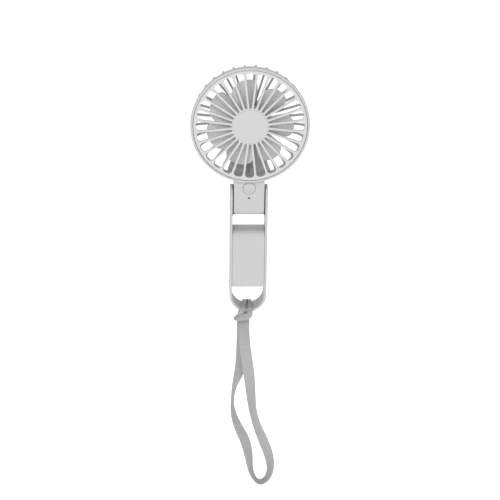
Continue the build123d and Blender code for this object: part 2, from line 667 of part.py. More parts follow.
def handle_frame():
    """The U-shaped band: two arms and a round bottom, with hinge holes and a cable groove."""
    outer = Line((-BAND_X, ARM_TOP), (-BAND_X, BAND_CZ))
    outer += ThreePointArc((-BAND_X, BAND_CZ), (0, BAND_BOTTOM), (BAND_X, BAND_CZ))
    outer += Line((BAND_X, BAND_CZ), (BAND_X, ARM_TOP))
    outer += Line((BAND_X, ARM_TOP), (ARM_X, ARM_TOP))
    outer += Line((ARM_X, ARM_TOP), (ARM_X, BAND_CZ))
    outer += ThreePointArc((ARM_X, BAND_CZ), (0, BAND_CZ - ARM_X), (-ARM_X, BAND_CZ))
    outer += Line((-ARM_X, BAND_CZ), (-ARM_X, ARM_TOP))
    outer += Line((-ARM_X, ARM_TOP), (-BAND_X, ARM_TOP))
    band = Pos(0, -HANDLE_D, 0) * extrude(Plane.XZ * make_face(outer), -HANDLE_D)
    crowns = [e for e in band.edges().filter_by(Axis.X) if e.center().Z > ARM_TOP - 0.1]
    band = fillet(crowns, CROWN)
    rims = [e for e in band.edges() if abs(e.center().Y) < 0.01 or abs(e.center().Y + HANDLE_D) < 0.01]
    band = fillet(rims, BAND_EDGE)
    band -= along_x(tube(PIVOT_R + FIT, 0, -FAR, FAR))
    band -= pair(along_x(tube(AXLE_FLANGE_R + 0.1, 0, FLANGE_X, FAR)))
    head_r, head_t, shank_r, _ = FRAME_SCREW
    side_hole = tube(shank_r + SHANK_GAP, 0, 10, FAR) + tube(head_r + HEAD_GAP, 0, BAND_X - head_t - 0.1, FAR)
    for z in (SIDE_SCREW_Z, -SIDE_SCREW_Z):
        band -= pair(along_x(side_hole, 0, SIDE_SCREW_Y, z))
    groove = block(ARM_X - 1, GROOVE_X, HINGE_Y - GROOVE_HALF, HINGE_Y + GROOVE_HALF, GROOVE_FOOT, HINGE_Z)
    half = COVER_HALF + RUN
    low, high = CASE_Z + 0.2, COVER_TOP + RUN
    return band - groove - block(ARM_X - 1, ARM_X + COVER_T + FIT, HINGE_Y - half, HINGE_Y + half, low, high)


def case_outline(inset):
    """The case's side outline, pushed out to its width, with every wall moved in by inset."""
    front, back = CASE_FRONT + inset, -inset
    top, half = CASE_Z - inset, CASE_X - inset
    edge = 0 if inset else CASE_EDGE
    corners = [(front, -top), (front, top), (back, top), (back, -top)]
    outline = FilletPolyline(*corners, radius=[edge, CASE_ROUND - inset, edge, edge], close=True)
    return Pos(-half, 0, 0) * extrude(Plane.YZ * make_face(outline), 2 * half)


def case_shell():
    """Both halves of the battery case before they are parted."""
    body = case_outline(0)
    sides = [e for e in body.edges() if abs(abs(e.center().X) - CASE_X) < 0.01]
    return fillet(sides, CASE_EDGE - 0.1) - case_outline(CASE_WALL)


def case_front():
    """Front half of the case, with the screw posts and the pads for the band's screws."""
    body = case_shell() - block(-FAR, FAR, CASE_SPLIT, FAR, -FAR, FAR)
    for z in (SIDE_SCREW_Z, -SIDE_SCREW_Z):
        body += pair(block(SIDE_PAD_X, CASE_X - 1, SIDE_SCREW_Y - 2, SIDE_SCREW_Y + 2, z - 2, z + 2))
        body -= pair(along_x(tube(FRAME_SCREW[2] + FIT, 0, SIDE_PAD_X - 1, FAR), 0, SIDE_SCREW_Y, z))
    for x, z in CASE_SCREWS:
        post = along_y(tube(POST_R, 0, 0, CASE_SPLIT - CASE_FRONT - 1), x, CASE_FRONT + 1, z)
        body += post & case_outline(CASE_WALL / 2)
        body -= along_y(tube(CASE_SCREW[2] + FIT, 0, 0, FAR), x, CASE_SPLIT - 5, z)
    return body


def case_rear():
    """Rear half of the case, with a lip, screw sockets and the charging port's hole."""
    body = case_shell() - block(-FAR, FAR, -FAR, CASE_SPLIT, -FAR, FAR)
    inset = CASE_WALL + RUN
    lip = case_outline(inset) & block(-FAR, FAR, CASE_SPLIT - LIP_H, CASE_SPLIT, -FAR, FAR)
    lip += case_outline(inset - 0.3) & block(-FAR, FAR, CASE_SPLIT, CASE_SPLIT + LIP_H, -FAR, FAR)
    lip -= case_outline(inset + LIP_T)
    head_r, _, shank_r, _ = CASE_SCREW
    for x, z in CASE_SCREWS:
        lip -= along_y(tube(POST_R + CLEAR, 0, 0, 3), x, CASE_SPLIT - 3, z)
        body += along_y(tube(POST_R + 0.4, 0, 0, -1 - CASE_SPLIT), x, CASE_SPLIT, z)
    for z in (SIDE_SCREW_Z, -SIDE_SCREW_Z):
        lip -= pair(block(SIDE_PAD_X - CLEAR, FAR, -FAR, SIDE_SCREW_Y + 2 + CLEAR, z - 2.1, z + 2.1))
    body += lip
    for x, z in CASE_SCREWS:
        body -= along_y(tube(head_r + HEAD_GAP, 0, 0, FAR), x, CASE_SEAT_Y, z)
        body -= along_y(tube(shank_r + SHANK_GAP, 0, 0, FAR), x, CASE_SPLIT - 3, z)
    half_w, half_h = PORT_W / 2 + CLEAR, PORT_H / 2 + CLEAR
    port = block(-half_w, half_w, -3, 1, PORT_Z - half_h, PORT_Z + half_h)
    body -= fillet(port.edges().filter_by(Axis.Y), half_h - 0.1)
    return body - block(11, FAR, HINGE_Y - 0.45, HINGE_Y + 0.55, GROOVE_FOOT + 0.2, GROOVE_FOOT + 1.2)


def battery_cell():
    """Lithium pouch cell with a folded top edge."""
    width, thick, height = CELL
    top = CELL_BOTTOM + height
    body = block(-width / 2, width / 2, CELL_FRONT, CELL_FRONT + thick, CELL_BOTTOM, top)
    body = fillet(body.edges().filter_by(Axis.Z), 2.2)
    return body + block(1.3 - width / 2, width / 2 - 1.3, -12.0, -9.0, top - 0.5, top + 2.2)


def battery_pad():
    """Foam between the cell and the front shell."""
    return block(-8, 8, CASE_FRONT + CASE_WALL, CELL_FRONT, -14, 14)


def charge_board():
    """Charging circuit board behind the cell."""
    return block(-CHARGE_HALF_W, CHARGE_HALF_W, CHARGE_BACK - BOARD_T, CHARGE_BACK, *CHARGE_Z)


def charge_parts():
    """Coil, chip and a column of small components on the charging board."""
    back = CHARGE_BACK
    coil = block(-8.5, -4.5, back, back + 2.2, -4.2, -0.2)
    chip = block(-1.0, 3.0, back, back + 0.9, -4.0, 0.0)
    small = [block(5.2, 6.8, back, back + 0.6, z, z + 0.9) for z in (-6.0, -4.0, -2.0)]
    return [coil, chip, *small]


def usb_receptacle():
    """Charging socket: a shell of folded steel with a tongue."""
    def slab(inset, y0, y1):
        half_w, half_h = PORT_W / 2 - inset, PORT_H / 2 - inset
        body = block(-half_w, half_w, y0, y1, PORT_Z - half_h, PORT_Z + half_h)
        return fillet(body.edges().filter_by(Axis.Y), half_h - 0.1)

    shell = slab(0, CHARGE_BACK, -0.3) - slab(0.3, CHARGE_BACK + 1.0, 1)
    return shell + block(-3.3, 3.3, CHARGE_BACK + 0.8, -1.2, PORT_Z - 0.35, PORT_Z + 0.35)


# The leads' routes are (x, y, z) points, with a tangent arc at each corner.
LEAD_PLANE = HINGE_Y + RUN


def power_lead():
    """Lead from the charging board, up the arm's groove and through the hollow axle."""
    y, foot = LEAD_PLANE, GROOVE_FOOT + 0.7
    start_y = CHARGE_BACK - CABLE_R
    points = [(9.3, start_y, CHARGE_Z[1] + RUN), (9.3, start_y, 15.0), (9.3, y, foot), (LEAD_X, y, foot),
              (LEAD_X, y, HINGE_Z), (9.3, y, HINGE_Z)]
    return cable(points, [4.0, 2.0, 1.2, 1.2], CABLE_R)


def neck_lead():
    """The lead's continuation inside the neck, from the axle to the control board."""
    y, top = LEAD_PLANE, BOARD_Z[0] + 3.1
    points = [(9.0, y, HINGE_Z), (4.6, y, HINGE_Z), (4.6, y, top), (4.6, BOARD_BACK, top)]
    return cable(points, [2.2, 1.0], CABLE_R)


def lead_cover():
    """Thin strip that closes the arm's groove between the case and the hinge."""
    half = COVER_HALF
    return block(ARM_X, ARM_X + COVER_T, HINGE_Y - half, HINGE_Y + half, CASE_Z + 0.25, COVER_TOP)


def motor_lead():
    """Lead from the motor board, down the rear grille's closed part and into the neck."""
    board_y = HEAD_Y + MOTOR_BOARD[1] - 0.1
    end = BOARD_Z[1] - 1.8
    points = [(0, board_y, HEAD_Z - MOTOR_BOARD_R - RUN), (0, board_y, HEAD_Z - 19), (0, LEAD_Y, HEAD_Z - 26),
              (0, LEAD_Y, end), (0, BOARD_BACK, end)]
    return cable(points, [6.0, 6.0, 2.0], LEAD_R)


# ---------------------------------------------------------------- strap
STRAP_W = 10.0
STRAP_T = 1.1
COLLAR = (-5.0, 3.4)     # left and right side of the webbing round the band
KNOT_X = (-10.5, 2.6)
KNOT_Y = (-16.5, -3.5)
KNOT_Z = -68.4           # underside of the knot
HITCH_IN = 0.15          # slack between the webbing and the band
# Route of the webbing below the hitch, as (x, z) control points.
STRAP_ROUTE = [
    (-2.2, KNOT_Z), (-1.4, -84), (0.6, -99), (3.2, -117), (5.0, -138), (8.8, -158), (14.6, -176),
    (20.6, -193), (23.6, -210), (21.0, -224), (12.5, -229.5), (4.5, -222), (1.8, -206), (0.2, -190),
    (-3.4, -175), (-9.4, -159), (-12.4, -140), (-9.6, -120), (-6.9, -101), (-5.9, -84), (-5.2, KNOT_Z),
]


def arc_radii(points):
    """A radius for each bend: 0.45 of the shorter run over the tangent of half the turn."""
    radii = []
    for a, b, c in zip(points, points[1:], points[2:]):
        before = Vector(*b) - Vector(*a)
        after = Vector(*c) - Vector(*b)
        turn = math.radians(before.get_angle(after))
        radii.append(0.45 * min(before.length, after.length) / math.tan(turn / 2))
    return radii


def strap_loop():
    """The free loop of flat webbing, with its width along Y."""
    points = [(x, 0, z) for x, z in STRAP_ROUTE]
    radii = arc_radii(points)
    print("strap bend radii:", [round(r, 1) for r in radii])
    path = FilletPolyline(*points, radius=radii)
    section = Plane(origin=path @ 0, z_dir=path % 0, x_dir=(0, 1, 0)) * Rectangle(STRAP_W, STRAP_T)
    loop = sweep(section, path)
    by_volume = loop.volume / STRAP_W / STRAP_T
    print("strap length:", round(path.length, 1), "volume over section:", round(by_volume, 1))
    return Pos(0, HINGE_Y, 0) * loop


def strap_hitch():
    """The webbing's hitch round the bottom of the band, and the knot under it."""

    def ring(gap):
        """The band's round bottom, made thicker by a gap all round."""
        shape = tube(BAND_X + gap, ARM_X - gap, -HANDLE_D - gap, gap)
        return along_y(shape, 0, 0, BAND_CZ)

    collar = ring(HITCH_IN + STRAP_T) - ring(HITCH_IN)
    collar &= block(*COLLAR, -FAR, FAR, -FAR, BAND_CZ)
    knot = block(*KNOT_X, *KNOT_Y, KNOT_Z, BAND_BOTTOM - HITCH_IN - 0.6)
    return collar + fillet(knot.edges().filter_by(Axis.Z), 3.0)


# ---------------------------------------------------------------- screws
def screws_from_behind(spec, places, seat_y):
    """Screws driven in from the rear, with their heads on a seat."""
    return [along_y(Rot(180, 0, 0) * screw(*spec), x, seat_y + spec[1], z) for x, z in places]


def board_screw_set():
    """The control board's screws, driven in from the front."""
    return [along_y(screw(*BOARD_SCREW), x, BOARD_FRONT - BOARD_SCREW[1], z) for x, z in BOARD_SCREWS]


def motor_screw_set():
    """The motor flange's screws, in their sockets under the rear cap."""
    one = Pos(MOTOR_SCREW_R, 0, CAP_SEAT) * Rot(180, 0, 0) * screw(*MOTOR_SCREW)
    return [HEAD * s for s in polar(one, MOTOR_SCREWS, DOWN)]


def frame_screw_set():
    """The screws that hold the band to the case, two in each arm."""
    screws = []
    for z in (SIDE_SCREW_Z, -SIDE_SCREW_Z):
        screws += pair(along_x(Rot(180, 0, 0) * screw(*FRAME_SCREW), BAND_X - 0.1, SIDE_SCREW_Y, z))
    return screws


# ---------------------------------------------------------------- writing the nodes
save("handle_frame", handle_frame())
save("case_front", case_front())
save("case_rear", case_rear())
save("battery_cell", battery_cell())
save("battery_pad", battery_pad())
save("charge_board", charge_board())
save("charge_parts", *charge_parts())
save("usb_receptacle", usb_receptacle())
save("case_screws", *screws_from_behind(CASE_SCREW, CASE_SCREWS, CASE_SEAT_Y))
save("frame_screws", *frame_screw_set())
save("hinge_axle_right", slotted_axle())
save("hinge_axle_left", mirrored(hinge_axle()))
hinge_parts = {"hinge_clip": hinge_clip(), "hinge_cap": hinge_cap(), "friction_pad": friction_pad()}
for name, shape in hinge_parts.items():
    save(f"{name}_right", shape)
    save(f"{name}_left", mirrored(shape))
save("power_lead", power_lead())
save("lead_cover", lead_cover())
save("strap_loop", strap_loop())
save("strap_hitch", strap_hitch())

save("rear_housing", rear_housing())
save("neck_cover", neck_cover())
save("front_grille", HEAD * front_grille())
save("centre_cap", HEAD * centre_cap())
save("rear_cap", HEAD * rear_cap())
save("motor_base", HEAD * motor_base())
save("bearing_front", HEAD * bearing(BUSHES[0]))
save("bearing_rear", HEAD * bearing(BUSHES[1]))
save("stator_core", HEAD * stator_core())
save("stator_windings", *[HEAD * c for c in stator_windings()])
save("motor_board", HEAD * motor_board())
save("motor_screws", *motor_screw_set())
save("motor_lead", motor_lead())
save("neck_lead", neck_lead())
save("control_board", control_board())
save("control_parts", *control_parts())
save("tact_switch", tact_switch())
save("led_chip", led_chip())
save("led_lens", led_lens())
save("board_screws", *board_screw_set())
save("neck_screws", *screws_from_behind(NECK_SCREW, NECK_SCREWS, NECK_SEAT_Y))

save("impeller", HEAD * impeller())
save("rotor_cup", HEAD * rotor_cup())
save("rotor_magnet", HEAD * rotor_magnet())
save("motor_shaft", HEAD * motor_shaft())
save("shaft_clip", HEAD * shaft_clip())

save("power_button", power_button())
save("switch_plunger", switch_plunger())
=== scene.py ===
import json
import math

import bpy
from mathutils import Matrix, Vector


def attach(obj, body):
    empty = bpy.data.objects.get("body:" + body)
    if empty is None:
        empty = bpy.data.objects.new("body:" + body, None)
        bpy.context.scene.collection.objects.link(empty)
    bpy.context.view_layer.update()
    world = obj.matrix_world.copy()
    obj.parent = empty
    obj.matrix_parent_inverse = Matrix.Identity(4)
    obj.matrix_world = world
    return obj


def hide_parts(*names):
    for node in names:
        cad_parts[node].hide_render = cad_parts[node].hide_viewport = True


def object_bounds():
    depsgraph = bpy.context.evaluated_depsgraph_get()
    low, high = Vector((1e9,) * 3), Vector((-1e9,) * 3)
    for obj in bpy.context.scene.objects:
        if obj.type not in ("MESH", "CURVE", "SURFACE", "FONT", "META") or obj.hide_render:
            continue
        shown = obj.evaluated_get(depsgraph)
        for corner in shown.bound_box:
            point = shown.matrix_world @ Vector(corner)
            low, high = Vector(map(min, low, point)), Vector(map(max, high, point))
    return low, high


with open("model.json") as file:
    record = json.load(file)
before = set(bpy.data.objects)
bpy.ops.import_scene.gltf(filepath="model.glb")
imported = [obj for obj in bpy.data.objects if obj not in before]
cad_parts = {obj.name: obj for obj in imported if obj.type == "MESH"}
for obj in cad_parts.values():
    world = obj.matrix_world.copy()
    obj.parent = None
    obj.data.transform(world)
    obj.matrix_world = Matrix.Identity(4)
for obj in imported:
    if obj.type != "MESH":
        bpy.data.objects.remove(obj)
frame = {"nodes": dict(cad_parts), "record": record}
cad_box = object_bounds()
MM = 0.001


# ---------------------------------------------------------------- camera
LENS = 126.75            # focal length in mm, on a sensor this wide
SENSOR = 36.0
CAMERA_AT = (0.0016, -1.4541, 0.5691)
PIVOT = (0, -0.012, 0)   # the camera is swung round the upright line through this point
ORBIT = math.radians(-2.5)
PITCH = math.radians(90 - 21.32)
ROLL = math.radians(0.77)


def look():
    """A long lens a little above the head and to the left, looking down, rolled slightly clockwise."""
    data = bpy.data.cameras.new("camera")
    data.lens = LENS
    data.sensor_width = SENSOR
    camera = bpy.data.objects.new("camera", data)
    bpy.context.scene.collection.objects.link(camera)
    pivot = Matrix.Translation(PIVOT)
    place = pivot @ Matrix.Rotation(ORBIT, 4, "Z") @ pivot.inverted() @ Matrix.Translation(CAMERA_AT)
    camera.matrix_world = place @ Matrix.Rotation(PITCH, 4, "X") @ Matrix.Rotation(ROLL, 4, "Z")
    bpy.context.scene.camera = camera


look()


# ---------------------------------------------------------------- strap
STRAP_WIDTH = 10.0 * MM
STRAP_THICK = 1.1 * MM
STRAP_EDGE = 0.35 * MM     # round of the webbing's edge
SAMPLES = 8                # curve samples for each point of the route
ACROSS = 11                # mesh points across one face of the webbing
EDGE_FALL = 0.8            # how far the webbing thins towards its very edge
EDGE_LEAST = 0.12          # and the least that is left of it there, both as squares of the thickness


def turned_to(degrees):
    """The direction across the webbing where it has turned this far from facing the front."""
    return (math.cos(math.radians(degrees)), math.sin(math.radians(degrees)), 0.0)


# The webbing's route, in mm: a point, the direction across its face, how much of its width lies
# flat (a gathered stretch is narrower) and how far its middle bows out of the plane of its edges.
# It starts and ends in the middle of the hitch's front loop, where the two ends are sewn together.
ROUTE = [
    ((-2.4, -21.1, -53.6), (0.08, 0.0, 1.0), 0.66, 0.35),
    ((-6.4, -20.6, -54.4), (0.20, 0.1, 1.0), 0.64, 0.35),
    ((-10.0, -18.6, -56.6), (0.35, 0.5, 0.9), 0.52, 0.30),
    ((-10.6, -16.6, -54.6), (0.30, 0.9, 0.2), 0.50, 0.30),
    ((-8.0, -18.4, -51.2), (0.90, 0.2, 0.5), 0.50, 0.50),
    ((-5.0, -20.9, -49.0), (1.0, 0.0, 0.05), 0.46, 0.50),
    ((-4.4, -20.0, -45.9), (1.0, 0.0, 0.10), 0.42, 0.30),
    ((-4.2, -15.5, -46.0), (1.0, 0.0, 0.05), 0.42, 0.0),
    ((-2.4, -4.0, -45.8), (1.0, 0.0, 0.05), 0.42, -0.5),
    ((-1.6, 0.8, -45.0), (1.0, 0.0, 0.05), 0.40, -0.6),
    ((-1.8, 2.0, -48.4), (1.0, 0.0, 0.05), 0.46, 0.0),
    ((-3.0, 0.0, -52.6), (1.0, 0.0, 0.0), 0.60, 0.2),
    ((-4.4, -7.0, -54.8), (1.0, 0.0, 0.0), 0.75, 0.0),
    ((-4.6, -8.6, -63.0), turned_to(0), 0.90, 0.0),
    ((-4.4, -8.2, -74.0), turned_to(2), 0.95, 0.0),
    ((-4.4, -7.8, -90.0), turned_to(4), 1.0, 0.0),
    ((-5.0, -7.6, -105.0), turned_to(8), 1.0, 0.0),
    ((-7.0, -7.4, -117.0), turned_to(26), 1.0, 0.0),
    ((-10.8, -7.2, -129.0), turned_to(60), 1.0, 0.0),
    ((-12.9, -7.2, -144.0), turned_to(76), 1.0, 0.0),
    ((-11.8, -7.4, -156.0), turned_to(66), 1.0, 0.0),
    ((-7.0, -7.8, -170.0), turned_to(48), 1.0, 0.0),
    ((-0.2, -8.4, -183.0), turned_to(28), 1.0, 0.0),
    ((3.4, -9.2, -199.0), turned_to(45), 1.0, 0.0),
    ((5.2, -9.5, -216.0), turned_to(70), 1.0, 0.0),
    ((12.6, -9.5, -228.0), turned_to(90), 1.0, 0.0),
    ((21.2, -9.5, -222.0), turned_to(105), 1.0, 0.0),
    ((23.8, -9.7, -209.0), turned_to(130), 1.0, 0.0),
    ((20.4, -10.4, -193.0), turned_to(158), 1.0, 0.0),
    ((15.0, -11.6, -179.0), turned_to(160), 1.0, 0.0),
    ((9.4, -12.6, -164.0), turned_to(139), 1.0, 0.0),
    ((5.6, -13.0, -149.0), turned_to(133), 1.0, 0.0),
    ((3.7, -13.2, -130.0), turned_to(147), 1.0, 0.0),
    ((2.1, -14.0, -113.0), turned_to(170), 1.0, 0.0),
    ((-0.2, -17.4, -97.0), turned_to(178), 1.0, 0.0),
    ((-2.0, -21.6, -84.0), turned_to(180), 1.0, 0.0),
    ((-3.1, -20.2, -74.0), turned_to(180), 1.0, 0.0),
    ((-3.3, -15.2, -62.0), turned_to(180), 1.0, 0.0),
    ((-2.6, -13.6, -54.4), turned_to(180), 0.90, 0.0),
    ((-0.2, -7.0, -52.6), turned_to(180), 0.70, 0.0),
    ((1.8, 0.6, -52.0), turned_to(180), 0.50, 0.2),
    ((2.2, 2.0, -48.6), turned_to(180), 0.36, 0.0),
    ((2.0, 0.8, -45.2), turned_to(180), 0.30, -0.5),
    ((2.1, -4.0, -46.0), turned_to(180), 0.30, -0.3),
    ((2.3, -15.5, -46.0), turned_to(180), 0.30, 0.3),
    ((2.4, -20.0, -46.2), (-1.0, 0.0, 0.05), 0.34, 0.4),
    ((2.2, -21.2, -49.4), (-1.0, 0.0, 0.30), 0.44, 0.4),
    ((1.4, -21.4, -51.8), (-0.7, 0.0, 0.8), 0.56, 0.4),
    ((-0.4, -21.4, -53.2), (-0.2, 0.0, 1.0), 0.64, 0.35),
    ((-2.6, -21.1, -53.6), (0.08, 0.0, 1.0), 0.66, 0.35),
]


def spline_of(points):
    """Points along the smooth curve that has these as its control points."""
    curve = bpy.data.curves.new("route", "CURVE")
    curve.dimensions = "3D"
    curve.resolution_u = SAMPLES
    spline = curve.splines.new("NURBS")
    spline.points.add(len(points) - 1)
    for point, place in zip(spline.points, points):
        point.co = (*place, 1.0)
    spline.order_u = 3
    spline.use_endpoint_u = True
    obj = bpy.data.objects.new("route", curve)
    mesh = bpy.data.meshes.new_from_object(obj)
    line = [v.co.copy() for v in mesh.vertices]
    bpy.data.objects.remove(obj)
    bpy.data.curves.remove(curve)
    bpy.data.meshes.remove(mesh)
    return line


def strap_section(half, bow):
    """Outline of the webbing's section: (across, out, position across from 0 to 1), going round."""
    t = STRAP_THICK / 2
    top = []
    for k in range(ACROSS):
        u = -1 + 2 * k / (ACROSS - 1)
        edge = max(0.0, abs(u) * half - (half - STRAP_EDGE)) / STRAP_EDGE
        thick = t * math.sqrt(max(EDGE_LEAST, 1 - EDGE_FALL * edge * edge))
        top.append((u * half, bow * (1 - u * u) * half, thick, (u + 1) / 2))
    over = [(x, y + h, p) for x, y, h, p in top]
    under = [(x, y - h, p) for x, y, h, p in reversed(top)]
    return over + under


def make_strap():
    """One closed ribbon of webbing as a mesh with UVs in metres along it and across it."""
    points = [Vector(p) * MM for p, _, _, _ in ROUTE]
    sides = [Vector(across).normalized() for _, across, _, _ in ROUTE]
    line = spline_of(points)
    across = spline_of(sides)
    widths = spline_of([Vector((w, b, 0.0)) for _, _, w, b in ROUTE])
    verts, faces, uvs = [], [], []
    ring = 2 * ACROSS
    run = 0.0
    for i, place in enumerate(line):
        before, after = line[max(0, i - 1)], line[min(len(line) - 1, i + 1)]
        ahead = (after - before).normalized()
        side = across[i] - ahead * across[i].dot(ahead)
        side.normalize()
        out = side.cross(ahead)
        run += (place - line[i - 1]).length if i else 0.0
        half = STRAP_WIDTH / 2 * widths[i].x
        for x, y, u in strap_section(half, widths[i].y):
            verts.append(place + side * x + out * y)
            uvs.append((u * STRAP_WIDTH, run))
    for i in range(len(line) - 1):
        for k in range(ring):
            a, b = i * ring + k, i * ring + (k + 1) % ring
            faces.append((a, b, b + ring, a + ring))
    last = (len(line) - 1) * ring
    faces.append(tuple(range(ring))[::-1])
    faces.append(tuple(last + k for k in range(ring)))
    mesh = bpy.data.meshes.new("strap")
    mesh.from_pydata(verts, [], faces)
    layer = mesh.uv_layers.new(name="webbing")
    for loop in mesh.loops:
        layer.data[loop.index].uv = uvs[loop.vertex_index]
    for polygon in mesh.polygons:
        polygon.use_smooth = True
    mesh.validate()
    mesh.update()
    strap = bpy.data.objects.new("wrist_strap", mesh)
    bpy.context.scene.collection.objects.link(strap)
    return strap, line


strap, strap_line = make_strap()
strap_length = sum((b - a).length for a, b in zip(strap_line, strap_line[1:]))
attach(strap, "handle")
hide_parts("strap_loop", "strap_hitch")
print("strap length", round(strap_length, 4))


# ---------------------------------------------------------------- material helpers
def material_of(name):
    """A new material: itself, its node tree, its Principled shader and the object's own coordinates."""
    material = bpy.data.materials.new(name)
    material.use_nodes = True
    tree = material.node_tree
    coords = tree.nodes.new("ShaderNodeTexCoord")
    return material, tree, tree.nodes["Principled BSDF"], coords.outputs["Object"]


def stretched(tree, vector, x, y, z):
    """The same coordinates, scaled by a factor along each axis."""
    node = tree.nodes.new("ShaderNodeMapping")
    node.inputs["Scale"].default_value = (x, y, z)
    tree.links.new(vector, node.inputs["Vector"])
    return node.outputs["Vector"]


def noise(tree, vector, scale, detail=3.0):
    node = tree.nodes.new("ShaderNodeTexNoise")
    node.inputs["Scale"].default_value = scale
    node.inputs["Detail"].default_value = detail
    tree.links.new(vector, node.inputs["Vector"])
    return node.outputs["Fac"]


def cells(tree, vector, size):
    """Distance from the nearest of scattered points, about one cell size apart."""
    node = tree.nodes.new("ShaderNodeTexVoronoi")
    node.inputs["Scale"].default_value = 1 / size
    tree.links.new(vector, node.inputs["Vector"])
    return node.outputs["Distance"]


def ridges(tree, vector, axis, pitch, wander=0.0):
    """Parallel ridges from 0 to 1 across an axis, a pitch apart."""
    node = tree.nodes.new("ShaderNodeTexWave")
    node.bands_direction = axis
    node.inputs["Scale"].default_value = math.pi / 10 / pitch
    node.inputs["Distortion"].default_value = wander
    tree.links.new(vector, node.inputs["Vector"])
    return node.outputs["Fac"]


def combined(tree, a, b, how="ADD"):
    node = tree.nodes.new("ShaderNodeMath")
    node.operation = how
    tree.links.new(a, node.inputs[0])
    tree.links.new(b, node.inputs[1])
    return node.outputs[0]


def spread_over(tree, value, low, high, span=(0.3, 0.7)):
    """Maps a value over a span to a number between low and high."""
    node = tree.nodes.new("ShaderNodeMapRange")
    for label, number in zip(("From Min", "From Max", "To Min", "To Max"), (*span, low, high)):
        node.inputs[label].default_value = number
    tree.links.new(value, node.inputs["Value"])
    return node.outputs["Result"]


def tint(tree, shader, value, dark, light):
    """Colours the shader between two tones."""
    node = tree.nodes.new("ShaderNodeMix")
    node.data_type = "RGBA"
    node.inputs["A"].default_value = (*dark, 1.0)
    node.inputs["B"].default_value = (*light, 1.0)
    tree.links.new(value, node.inputs["Factor"])
    tree.links.new(next(o for o in node.outputs if o.type == "RGBA"), shader.inputs["Base Color"])


def roughened(tree, shader, value, low, high):
    tree.links.new(spread_over(tree, value, low, high), shader.inputs["Roughness"])


def bumped(tree, shader, height, depth):
    """Gives the shader a relief of this depth."""
    node = tree.nodes.new("ShaderNodeBump")
    node.inputs["Distance"].default_value = depth
    tree.links.new(height, node.inputs["Height"])
    tree.links.new(node.outputs["Normal"], shader.inputs["Normal"])


def shades(colour, spread):
    """A darker and a lighter tone of a colour."""
    return tuple(c * (1 - spread) for c in colour), tuple(c * (1 + spread) for c in colour)


# ---------------------------------------------------------------- materials
WEFT = 1.9 * MM          # pitch of the webbing's crosswise ribs
WARP = 0.5 * MM          # pitch of its lengthwise threads


def moulded(name, colour, rough=0.42, grain=0.35 * MM, depth=0.012 * MM, specular=0.45):
    """Moulded plastic: a fine spark-eroded grain, faint flow mottling and an uneven sheen."""
    material, tree, shader, at = material_of(name)
    tint(tree, shader, noise(tree, at, 60.0), *shades(colour, 0.03))
    roughened(tree, shader, noise(tree, at, 240.0), rough - 0.05, rough + 0.06)
    bumped(tree, shader, noise(tree, at, 1 / grain, 2.0), depth)
    shader.inputs["Specular IOR Level"].default_value = specular
    return material


def metal(name, colour, rough, stretch=(1, 1, 1), grain=0.25 * MM, depth=0.004 * MM, spread=0.08):
    """Metal with fine marks, drawn out along an axis by the stretch."""
    material, tree, shader, at = material_of(name)
    marks = noise(tree, stretched(tree, at, *stretch), 1 / grain)
    tint(tree, shader, marks, *shades(colour, spread))
    roughened(tree, shader, marks, rough - 0.07, rough + 0.1)
    bumped(tree, shader, marks, depth)
    shader.inputs["Metallic"].default_value = 1.0
    return material


def foil(name, colour):
    """Aluminium laminate of a pouch cell, with soft creases whose hollows are coloured darker as painted
    shade.
    """
    material, tree, shader, at = material_of(name)
    creases_and_crease_shade = noise(tree, at, 170.0, 5.0)
    # painted shade: the tone follows the creases' relief, darker in their hollows
    tint(tree, shader, creases_and_crease_shade, *shades(colour, 0.1))
    roughened(tree, shader, creases_and_crease_shade, 0.3, 0.48)
    bumped(tree, shader, creases_and_crease_shade, 0.25 * MM)
    shader.inputs["Metallic"].default_value = 0.85
    return material


def foam(name, colour):
    """Open foam: small round cells, coloured darker in their pits as painted shade."""
    material, tree, shader, at = material_of(name)
    pores_and_pit_shade = cells(tree, at, 0.45 * MM)
    # painted shade: the tone falls with the cells' relief, darker in each pit
    tint(tree, shader, pores_and_pit_shade, *shades(colour, 0.4))
    bumped(tree, shader, pores_and_pit_shade, 0.15 * MM)
    shader.inputs["Roughness"].default_value = 0.95
    return material


def circuit_board(name, colour):
    """Solder mask over copper tracks, which stand out as paler wandering lines."""
    material, tree, shader, at = material_of(name)
    upright = ridges(tree, at, "X", 1.6 * MM, 3.0)
    level = ridges(tree, at, "Z", 2.1 * MM, 3.0)
    runs = combined(tree, upright, level, "MAXIMUM")
    tracks = spread_over(tree, runs, 0.0, 1.0, (0.82, 0.9))
    tint(tree, shader, tracks, colour, tuple(1.7 * c for c in colour))
    roughened(tree, shader, noise(tree, at, 400.0), 0.25, 0.4)
    bumped(tree, shader, tracks, 0.03 * MM)
    return material


def laminations(name, colour):
    """Edges of stacked steel sheets, 0.35 mm each, oiled."""
    material, tree, shader, at = material_of(name)
    sheets = ridges(tree, at, "Y", 0.35 * MM)
    tint(tree, shader, combined(tree, sheets, noise(tree, at, 900.0), "MULTIPLY"), *shades(colour, 0.35))
    roughened(tree, shader, noise(tree, at, 500.0), 0.4, 0.6)
    bumped(tree, shader, sheets, 0.04 * MM)
    shader.inputs["Metallic"].default_value = 0.9
    return material


def wound_wire(name, colour):
    """Turns of enamelled wire laid side by side along the motor's axis, coloured darker in the grooves
    between turns as painted shade.
    """
    material, tree, shader, at = material_of(name)
    turns_and_groove_shade = ridges(tree, at, "Y", 0.28 * MM, 0.6)
    # painted shade: the tone follows the turns' relief, darker between them
    tint(tree, shader, turns_and_groove_shade, *shades(colour, 0.35))
    roughened(tree, shader, noise(tree, at, 700.0), 0.22, 0.36)
    bumped(tree, shader, turns_and_groove_shade, 0.06 * MM)
    shader.inputs["Metallic"].default_value = 0.9
    shader.inputs["Coat Weight"].default_value = 0.4
    return material


